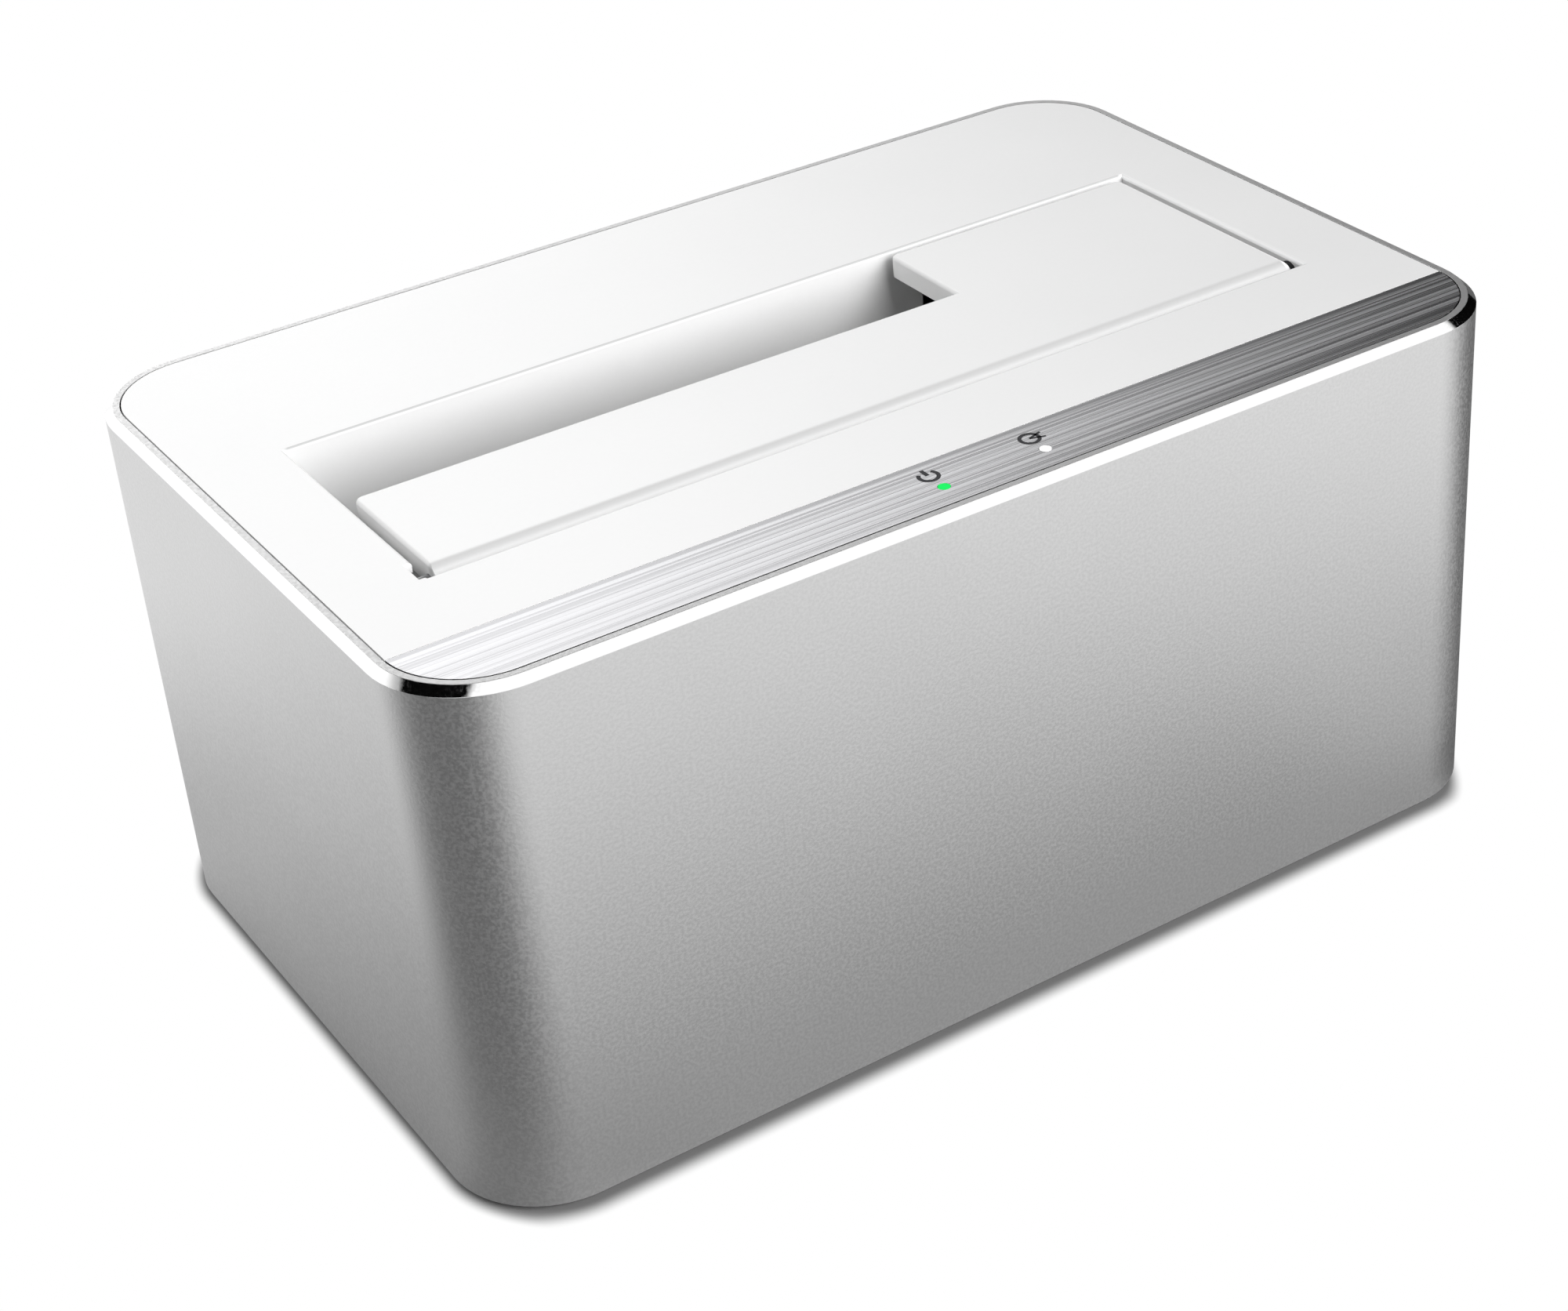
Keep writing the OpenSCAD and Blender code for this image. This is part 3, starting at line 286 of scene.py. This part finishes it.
white_plastic = moulded("white_plastic", grey(0.845), rough=0.17, edges=slot_painted_light_and_shade)
flap_plastic = moulded("flap_plastic", grey(0.845), rough=0.17, edges=flap_painted_light_and_shade)
well_plastic = moulded("well_plastic", (0.82, 0.82, 0.815), rough=0.42)
grey_plastic = moulded("grey_plastic", (0.20, 0.20, 0.205), rough=0.48, peel=0.3)
black_plastic = moulded("black_plastic", (0.022, 0.022, 0.024), rough=0.42, peel=0.2)
blue_plastic = moulded("blue_plastic", (0.03, 0.10, 0.42), rough=0.40)
foot_rubber = moulded("foot_rubber", (0.030, 0.030, 0.031), rough=0.72, peel=0.4)
chip_resin = moulded("chip_resin", (0.028, 0.028, 0.029), rough=0.55, peel=0.4)
sign_ink = moulded("sign_ink", (0.030, 0.030, 0.033), rough=0.70, peel=0.2)
lamp_resin = moulded("lamp_resin", (0.80, 0.80, 0.74), rough=0.22)
bright_steel = plain_metal("bright_steel", (0.74, 0.74, 0.75), rough=0.28)
drawn_steel = plain_metal("drawn_steel", (0.42, 0.42, 0.43), rough=0.40)
dark_steel = plain_metal("dark_steel", (0.20, 0.20, 0.21), rough=0.38)
can_metal = plain_metal("can_metal", (0.82, 0.82, 0.83), rough=0.34)
gilt = plain_metal("gilt", (0.86, 0.63, 0.24), rough=0.26)
sleeve_metal = blasted_aluminium()
strip_metal = brushed_strip()
board_lacquer = lacquered_board()
green_tip = light_tip("green_tip", dim=(0.0, 0.08, 0.01), lit=(0.0, 0.93, 0.13), strength=0.9)
white_tip = light_tip("white_tip", dim=grey(0.90), lit=grey(1.0), strength=0.27)

node_finishes = {
    "sleeve": sleeve_metal, "top_panel": white_plastic, "trim_strip": strip_metal,
    "power_light_pipe": green_tip, "activity_light_pipe": white_tip,
    "drive_flap": flap_plastic, "hinge_rod": drawn_steel, "hinge_bushes": black_plastic,
    "drive_well": well_plastic,
    "sata_socket": black_plastic, "sata_contacts": gilt, "main_board": board_lacquer,
    "bridge_chip": chip_resin, "memory_chip": chip_resin, "regulator_chip": chip_resin,
    "power_coil": chip_resin, "capacitors": can_metal, "crystal": can_metal,
    "power_led": lamp_resin, "activity_led": lamp_resin,
    "usb_shell": bright_steel, "usb_tongue": blue_plastic, "usb_contacts": gilt,
    "jack_body": black_plastic, "jack_pin": bright_steel, "jack_spring": bright_steel,
    "power_button": grey_plastic, "switch_plunger": white_plastic, "switch_body": black_plastic,
    "base_plate": grey_plastic, "rubber_feet": foot_rubber,
    "base_screws": dark_steel, "well_screws": dark_steel, "board_screws": bright_steel,
    "flap_spring": bright_steel,
}
for name, finish in node_finishes.items():
    nodes[name].data.materials.clear()
    nodes[name].data.materials.append(finish.material)


# ---------------------------------------------------------------- working on a piece

# Points this close are one point, faces this level are one face, and edges this steep are rounded
SAME_PLACE = 0.000001
LEVEL = math.radians(0.4)
STEEP = math.radians(40)


def drop_all():
    """Leaves nothing selected."""
    bpy.ops.object.select_all(action="DESELECT")


def pick(*pieces):
    """Selects only these pieces, and makes the first one active."""
    drop_all()
    for piece in pieces:
        piece.select_set(True)
    bpy.context.view_layer.objects.active = pieces[0]


def join(pieces):
    pick(*pieces)
    bpy.ops.object.join()
    return bpy.context.object


def edit(piece, mode="VERT"):
    pick(piece)
    bpy.ops.object.mode_set(mode="EDIT")
    bpy.ops.mesh.select_mode(type=mode)


def leave():
    bpy.ops.object.mode_set(mode="OBJECT")


def edit_merged(piece):
    """Goes into edit mode with the whole piece selected and its doubled points merged."""
    edit(piece)
    bpy.ops.mesh.select_all(action="SELECT")
    bpy.ops.mesh.remove_doubles(threshold=SAME_PLACE)


def choose(piece, test, kind="vertices"):
    """Selects only the points, edges or faces that pass the test, and goes on in edit mode."""
    bpy.ops.mesh.select_all(action="DESELECT")
    leave()
    for item in getattr(piece.data, kind):
        item.select = test(item)
    bpy.ops.object.mode_set(mode="EDIT")


def apply(piece, kind, **settings):
    """Adds a modifier and applies it."""
    pick(piece)
    modifier = piece.modifiers.new(kind.lower(), kind)
    for name, value in settings.items():
        setattr(modifier, name, value)
    bpy.ops.object.modifier_apply(modifier=modifier.name)


def settle(piece):
    """Puts the piece's place into its mesh, so that its object sits at the origin."""
    pick(piece)
    bpy.ops.object.transform_apply(location=True, rotation=True, scale=True)


def smooth(piece, angle=35):
    """Smooth shading over gentle edges, in which large flat faces stay flat."""
    pick(piece)
    bpy.ops.object.shade_smooth_by_angle(angle=math.radians(angle))
    apply(piece, "WEIGHTED_NORMAL", mode="FACE_AREA", weight=100, keep_sharp=True)


def wear(piece, name, body, slot, finish, *stands_for):
    """Names the finished piece, gives it its finish and its body, and hides what it stands for. Its slot is
    not used.
    """
    piece.name = name
    piece.data.name = name
    piece.data.materials.clear()
    piece.data.materials.append(finish.material)
    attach(piece, body)
    if stands_for:
        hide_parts(*stands_for)


# ---------------------------------------------------------------- rounded edges

def softened(node, name, body, slot, finish, edge, steps=2):
    """A copy of a solid, with every sharp edge rounded off as a mould or a tumbler leaves it."""
    piece = bpy.data.objects.new(name, nodes[node].data.copy())
    scene.collection.objects.link(piece)
    pick(piece)
    bpy.ops.mesh.customdata_custom_splitnormals_clear()
    edit_merged(piece)
    bpy.ops.mesh.dissolve_limited(angle_limit=LEVEL)
    leave()
    apply(piece, "BEVEL", width=edge * MM, segments=steps, limit_method="ANGLE", angle_limit=STEEP,
          use_clamp_overlap=True)
    edit_merged(piece)
    bpy.ops.mesh.dissolve_degenerate(threshold=SAME_PLACE)
    leave()
    smooth(piece)
    wear(piece, name, body, slot, finish, node)


softened("sleeve", "sleeve_shell", "dock", "anodised_aluminium", sleeve_metal, edge=0.03)
softened("top_panel", "top_moulding", "dock", "white_plastic", white_plastic, edge=0.2, steps=3)
softened("drive_flap", "flap_moulding", "flap", "white_plastic", flap_plastic, edge=0.12)
softened("trim_strip", "strip_plate", "dock", "brushed_trim", strip_metal, edge=0.03)
softened("drive_well", "well_moulding", "dock", "white_plastic", well_plastic, edge=0.2)
softened("base_plate", "base_moulding", "dock", "grey_plastic", grey_plastic, edge=0.2)
softened("power_button", "button_cap", "button", "grey_plastic", grey_plastic, edge=0.3, steps=3)
softened("usb_shell", "usb_can", "dock", "bright_steel", bright_steel, edge=0.08)
softened("jack_body", "jack_housing", "dock", "black_plastic", black_plastic, edge=0.15)
softened("jack_pin", "jack_centre", "dock", "bright_steel", bright_steel, edge=0.05)
softened("sata_socket", "socket_housing", "dock", "black_plastic", black_plastic, edge=0.12)


# ---------------------------------------------------------------- printed signs

INK_TOP = TOP + 0.012
INK_COAT = 0.02


def ring(middle, radius, width, opening=0):
    """A flat printed ring, open by that many degrees either side of +Y."""
    drop_all()
    bpy.ops.mesh.primitive_circle_add(vertices=96, radius=radius * MM, location=middle * MM)
    piece = bpy.context.object
    settle(piece)
    edit(piece)
    if opening:
        choose(piece, lambda point: Vector((0, 1)).angle((point.co - middle * MM).xy) < math.radians(opening))
        bpy.ops.mesh.delete(type="VERT")
    bpy.ops.mesh.select_all(action="SELECT")
    bpy.ops.mesh.extrude_edges_move()
    inner = 1 - width / radius
    bpy.ops.transform.resize(value=(inner, inner, 1), center_override=middle * MM)
    leave()
    return piece


def line(start, end, width):
    """A flat printed line from one point to another."""
    way = end - start
    drop_all()
    bpy.ops.mesh.primitive_plane_add(size=1, location=(start + end) / 2 * MM,
                                     rotation=(0, 0, math.atan2(way.y, way.x)))
    piece = bpy.context.object
    piece.scale = (way.length * MM, width * MM, 1)
    settle(piece)
    return piece


def printed(name, marks):
    """One sign from its marks, with the thickness of a coat of ink."""
    sign = join(marks)
    edit(sign, "FACE")
    choose(sign, lambda face: face.normal.z < 0, "polygons")
    bpy.ops.mesh.flip_normals()
    leave()
    apply(sign, "SOLIDIFY", thickness=INK_COAT * MM, offset=-1)
    wear(sign, name, "dock", "black_plastic", sign_ink)


def power_sign():
    """A broken ring with a bar in the gap."""
    middle = Vector((-5.9, -32.5, INK_TOP))
    printed("power_sign", [
        ring(middle, radius=1.18, width=0.42, opening=42),
        line(middle + Vector((0, 0.15, 0)), middle + Vector((0, 1.34, 0)), width=0.44),
    ])


def drive_sign():
    """A ring with two lines that spread from its middle."""
    middle = Vector((5.9, -32.5, INK_TOP))
    printed("drive_sign", [
        ring(middle, radius=1.18, width=0.40),
        line(middle, middle + Vector((1.58, 0.53, 0)), width=0.26),
        line(middle, middle + Vector((1.58, -0.53, 0)), width=0.26),
    ])


power_sign()
drive_sign()


# ---------------------------------------------------------------- screws

# One turn of thread in four steps: each one's share of the pitch, and how it scales the shank
THREAD_ROOT = 0.84
THREAD = ((0.2, 1.0), (0.3, THREAD_ROOT), (0.2, 1.0), (0.3, 1 / THREAD_ROOT))
POINT = 0.8
HEAD_ROUNDING = 0.35
DRIVEN_TURN = 17


def drawn_out(height, scale=1.0):
    """Extrudes the selected end upwards and scales it."""
    bpy.ops.mesh.extrude_region_move(TRANSFORM_OT_translate={"value": (0, 0, height * MM)})
    if scale != 1.0:
        bpy.ops.transform.resize(value=(scale, scale, 1), center_override=(0, 0, 0))


def cross_screw(head_r, head_h, shank_r, length, pitch):
    """A screw with its seat at the origin, its head below and a threaded shank above, and a cross recess."""
    drop_all()
    bpy.ops.mesh.primitive_cylinder_add(vertices=40, radius=head_r * MM, depth=head_h * MM,
                                        location=(0, 0, -head_h / 2 * MM))
    screw = bpy.context.object
    settle(screw)
    edit(screw, "EDGE")
    head_end = -0.9 * head_h * MM
    choose(screw, lambda edge: all(screw.data.vertices[v].co.z < head_end for v in edge.vertices), "edges")
    bpy.ops.mesh.bevel(offset=head_h * HEAD_ROUNDING * MM, segments=4, affect="EDGES")
    bpy.ops.mesh.select_mode(type="FACE")
    choose(screw, lambda face: face.normal.z > 0.9, "polygons")
    bpy.ops.mesh.inset(thickness=(head_r - shank_r) * MM)
    turns = int(length / pitch)
    for _ in range(turns):
        for share, scale in THREAD:
            drawn_out(share * pitch, scale)
    drawn_out(length - turns * pitch, POINT)
    leave()
    for turn in (0, 90):
        cross_recess(screw, head_r, head_h, math.radians(turn))
    smooth(screw, 30)
    return screw


def cross_recess(screw, head_r, head_h, turn):
    """Cuts one tapered blade of the cross into the screw's head."""
    across, thick, deep, taper = head_r * 1.15, head_r * 0.28, head_h * 1.1, 0.72
    drop_all()
    bpy.ops.mesh.primitive_cube_add(size=1, location=(0, 0, -head_h * MM), rotation=(0, 0, turn))
    blade = bpy.context.object
    blade.scale = (across * MM, thick * MM, deep * MM)
    settle(blade)
    edit(blade, "FACE")
    choose(blade, lambda face: face.normal.z > 0.9, "polygons")
    bpy.ops.transform.resize(value=(taper, taper, 1), center_override=(0, 0, 0))
    leave()
    apply(screw, "BOOLEAN", object=blade, operation="DIFFERENCE", solver="EXACT")
    bpy.data.objects.remove(blade)


def screw_set(name, slot, finish, node, screw, places, upside_down=False):
    """Copies of one screw at its places, as one piece. The screw that was copied goes."""
    copies = []
    for place in places:
        copy = screw.copy()
        copy.data = screw.data.copy()
        scene.collection.objects.link(copy)
        copy.location = Vector(place) * MM
        copy.rotation_euler = (math.pi if upside_down else 0, 0, math.radians(DRIVEN_TURN * len(copies)))
        settle(copy)
        copies.append(copy)
    wear(join(copies), name, "dock", slot, finish, node)
    bpy.data.objects.remove(screw)


def corners(x, y_low, y_high, z):
    return [(side * x, y, z) for side in (-1, 1) for y in (y_low, y_high)]


screw_set("base_fixings", "dark_steel", dark_steel, "base_screws",
          cross_screw(head_r=2.625, head_h=1.75, shank_r=1.23, length=11.75, pitch=1.0),
          corners(53.5, -30.5, 30.5, 2.85))
screw_set("well_fixings", "dark_steel", dark_steel, "well_screws",
          cross_screw(head_r=1.995, head_h=1.33, shank_r=0.93, length=7.0, pitch=0.7),
          corners(40, -24.145, 17.745, 46))
screw_set("board_fixings", "bright_steel", bright_steel, "board_screws",
          cross_screw(head_r=1.995, head_h=1.33, shank_r=0.93, length=5.6, pitch=0.7),
          corners(44, -27, 27, 9.6), upside_down=True)


# ---------------------------------------------------------------- closing spring

def closing_spring():
    """The torsion spring: a round wire wound six turns round the rod, with a leg at each end."""
    coil_r, wire_r, length, turns, slope = 1.07, 0.2, 5.4, 6, math.radians(2.292)
    drop_all()
    bpy.ops.mesh.primitive_circle_add(vertices=12, radius=wire_r * MM, location=(0, 0, -coil_r * MM),
                                      rotation=(math.pi / 2, 0, 0))
    spring = bpy.context.object
    settle(spring)
    apply(spring, "SCREW", axis="X", angle=turns * 2 * math.pi + slope, screw_offset=length * MM,
          steps=168, render_steps=168, iterations=1, use_merge_vertices=False)
    edit(spring)
    still_end = Vector((0, 0, -coil_r)) * MM
    still_leg = Vector((0, -3.5, 0))
    moving_end = Vector((length, coil_r * math.sin(slope), -coil_r * math.cos(slope))) * MM
    moving_leg = 8 * Vector((0, math.cos(slope), math.sin(slope)))
    for end, leg in ((still_end, still_leg), (moving_end, moving_leg)):
        # Only the ring at the wire's end is within a wire's radius of it and square to its leg
        choose(spring, lambda point: (point.co - end).length < wire_r * 1.05 * MM
               and abs((point.co - end).dot(leg.normalized())) < 0.02 * MM)
        bpy.ops.mesh.select_mode(type="EDGE")
        bpy.ops.mesh.extrude_edges_move(TRANSFORM_OT_translate={"value": leg * MM})
        bpy.ops.mesh.edge_face_add()
        bpy.ops.mesh.select_mode(type="VERT")
    bpy.ops.mesh.select_all(action="SELECT")
    bpy.ops.mesh.normals_make_consistent(inside=False)
    leave()
    spring.location = Vector((33.3, HINGE.y, HINGE.z)) * MM
    settle(spring)
    smooth(spring)
    spring.name = "closing_spring"
    spring.data.name = "closing_spring"
    spring.data.materials.append(bright_steel.material)
    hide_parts("flap_spring")
    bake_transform(spring)


closing_spring()


# ---------------------------------------------------------------- studio

def asked_by(start):
    """Which ray asks: 1 for the camera's or one through a clear piece, and 1 for one off a glossy piece."""
    camera, clear, gloss = [start.node("ShaderNodeLightPath", output=f"Is {kind} Ray")
                            for kind in ("Camera", "Transmission", "Glossy")]
    return camera.over(clear), gloss


def turned_to(x, y, near_bearing, far_bearing, far):
    """1 where a floor point lies on a bearing, in degrees from +X, and -1 on the opposite one.

    The bearing is the near one where far is 0, and the far one where it is 1."""
    def along(bearing):
        angle = math.radians(bearing)
        return (x * math.cos(angle) + y * math.sin(angle)) / (x * x + y * y + 1e-9).root()
    return along(near_bearing) * (1 - far) + along(far_bearing) * far


def floor_glow(x, y, away):
    """The painted glow that the metal shows of the floor, which grows with the distance from the sleeve as a
    painted shade of its shadow.
    """
    # The glow is painted dark in two sectors, in front on the left and on the right, for the metal's corners
    # to show
    far = away.rise(0.01, 0.10)
    by_left = turned_to(x + CORNER_X, y + CORNER_Y, -144, -157, far)
    dark_left = (by_left - 0.26 * away.fall(0.0, 0.04) + 0.03 * far).rise(0.42, 0.95)
    clear_of_foot = away.rise(0.002, 0.024)
    by_right = turned_to(x - CORNER_X, y + CORNER_Y, -14, 20, clear_of_foot)
    dark_right = (by_right - 0.05 - 0.05 * (1 - clear_of_foot)).rise(0.36, 0.88)
    lit = (1 - dark_left) * (1 - dark_right)

    # In front, it is brighter towards the right end
    at_front = (0 - y).rise(0.038, 0.046)
    right_patch = 0.14 * x.band(0.040, 0.064, 0.068, 0.086) - 0.035 * x.rise(-0.05, 0.0)
    far_right = 0.05 * away.rise(0.045, 0.075) * x.rise(0.0, 0.060)
    in_front = at_front * (away.band(0.004, 0.014, 0.032, 0.056) * right_patch + far_right)

    # On the left, it is brighter towards the back, and more even from near to far
    at_left = (0 - x).rise(0.050, 0.066)
    from_back = away.fall(0.02, 0.06) * (0.18 * y.rise(-0.02, 0.05) - 0.09)
    evened = 0.04 * away.rise(0.0005, 0.004) - 0.08 * away.rise(0.008, 0.025)
    back_patch = 0.06 * y.rise(0.018, 0.040) * away.fall(0.005, 0.015)
    on_left = at_left * (from_back + evened + back_patch)

    with_distance = 0.68 * (away * (1 + 0.4 * at_left)).rise(0.0, 0.105)
    return 0.17 * (1 - lit) - 0.04 * dark_right + lit * (0.38 + in_front + on_left + with_distance)


def floor_finish():
    """Pale floor: white to the camera, with a partly painted shadow along the foot, and a painted glow graded
    for the metal to show.
    """
    material = bpy.data.materials.new("studio_floor")
    material.use_nodes = True
    tree = material.node_tree
    tree.nodes.clear()
    start = Signal(tree)
    x, y, _ = start.node("ShaderNodeTexCoord", output="Object").axes()
    past_x = (abs(x) - CORNER_X).over(0.0)
    past_y = (abs(y) - CORNER_Y).over(0.0)
    away = (past_x * past_x + past_y * past_y).root() - CORNER_R
    seen, mirrored = asked_by(start)
    # The shadow is narrower along the left side, and narrowest on the right: its width is a painted mask
    left_foot = (0 - x).rise(0.0585, 0.0640)
    right_foot = x.rise(0.0555, 0.0620)
    past_foot = away * (1 + 0.375 * left_foot) + 0.00058 * left_foot + 0.0020 * right_foot
    unshaded = past_foot.rise(0.0001, 0.0027)
    # To the camera the floor's diffuse is darker than what it bounces, so the shadow along the foot is partly
    # real and partly painted shade
    shaded_floor = start.node("ShaderNodeBsdfDiffuse", None, {"Color": seen.tint(grey(0.8), grey(0.22))})
    white = start.node("ShaderNodeEmission", None, {"Color": (1, 1, 1, 1)})
    shown = start.node("ShaderNodeEmission", None, {"Color": floor_glow(x, y, away)})
    open_floor = start.node("ShaderNodeMixShader", None, {0: seen * unshaded, 1: shaded_floor, 2: white})
    shader = start.node("ShaderNodeMixShader", None, {0: mirrored, 1: open_floor, 2: shown})
    tree.links.new(shader.socket, tree.nodes.new("ShaderNodeOutputMaterial").inputs[0])
    return material


def studio_world():
    """White to the camera, even light for the object, and for gloss two long soft boxes and a dim ceiling."""
    world = bpy.data.worlds.new("studio")
    scene.world = world
    world.use_nodes = True
    tree = world.node_tree
    tree.nodes.clear()
    start = Signal(tree)
    x, y, z = start.node("ShaderNodeTexCoord", output="Generated").axes()
    front_box = 1.08 * (x * 0.055 - y).rise(0.275, 0.335)
    up_the_back = y.rise(0.20, 0.34) * z.fall(0.645, 0.68) * (2.1 - 1.2 * z.rise(0.52, 0.65))
    back_box = up_the_back * x.fall(0.30, 0.66) * (0.55 + 0.45 * x.rise(-0.25, 0.0))
    ceiling = 0.35 * z.rise(0.92, 0.97)
    boxes = 0.002 + front_box.over(back_box) + ceiling
    even = start.node("ShaderNodeBackground", None, {"Color": (1, 1, 1, 1), "Strength": 0.24})
    white = start.node("ShaderNodeBackground", None, {"Color": (1, 1, 1, 1), "Strength": 1.0})
    gloss = start.node("ShaderNodeBackground", None, {"Color": boxes, "Strength": 1.0})
    seen, mirrored = asked_by(start)
    unseen = start.node("ShaderNodeMixShader", None, {0: mirrored, 1: even, 2: gloss})
    sky = start.node("ShaderNodeMixShader", None, {0: seen, 1: unseen, 2: white})
    tree.links.new(sky.socket, tree.nodes.new("ShaderNodeOutputWorld").inputs[0])


def soft_box(name, place, size, power):
    """A square soft light that points at the object."""
    lamp = bpy.data.lights.new(name, "AREA")
    lamp.size = size
    lamp.energy = power
    box = bpy.data.objects.new(name, lamp)
    box.location = place
    box.rotation_euler = (-Vector(place)).to_track_quat("-Z", "Y").to_euler()
    box.visible_camera = False
    box.visible_glossy = False
    scene.collection.objects.link(box)


drop_all()
bpy.ops.mesh.primitive_plane_add(size=8)
floor = bpy.context.object
floor.name = "floor"
floor.data.materials.append(floor_finish())

studio_world()
soft_box("key_box", place=(-0.50, 0.42, 0.58), size=0.5, power=3.5)
soft_box("front_box", place=(0.30, -0.90, 0.50), size=0.8, power=14.6)

camera = bpy.data.cameras.new("camera")
camera.lens = 69.771
camera.sensor_width = 36
camera.shift_x = -0.1
viewer = bpy.data.objects.new("camera", camera)
viewer.location = (-0.14325, -0.244886, 0.195723)
viewer.rotation_euler = [math.radians(a) for a in (58.1806, 2.7866, -34.6611)]
scene.collection.objects.link(viewer)
scene.camera = viewer
scene.view_settings.view_transform = "Standard"
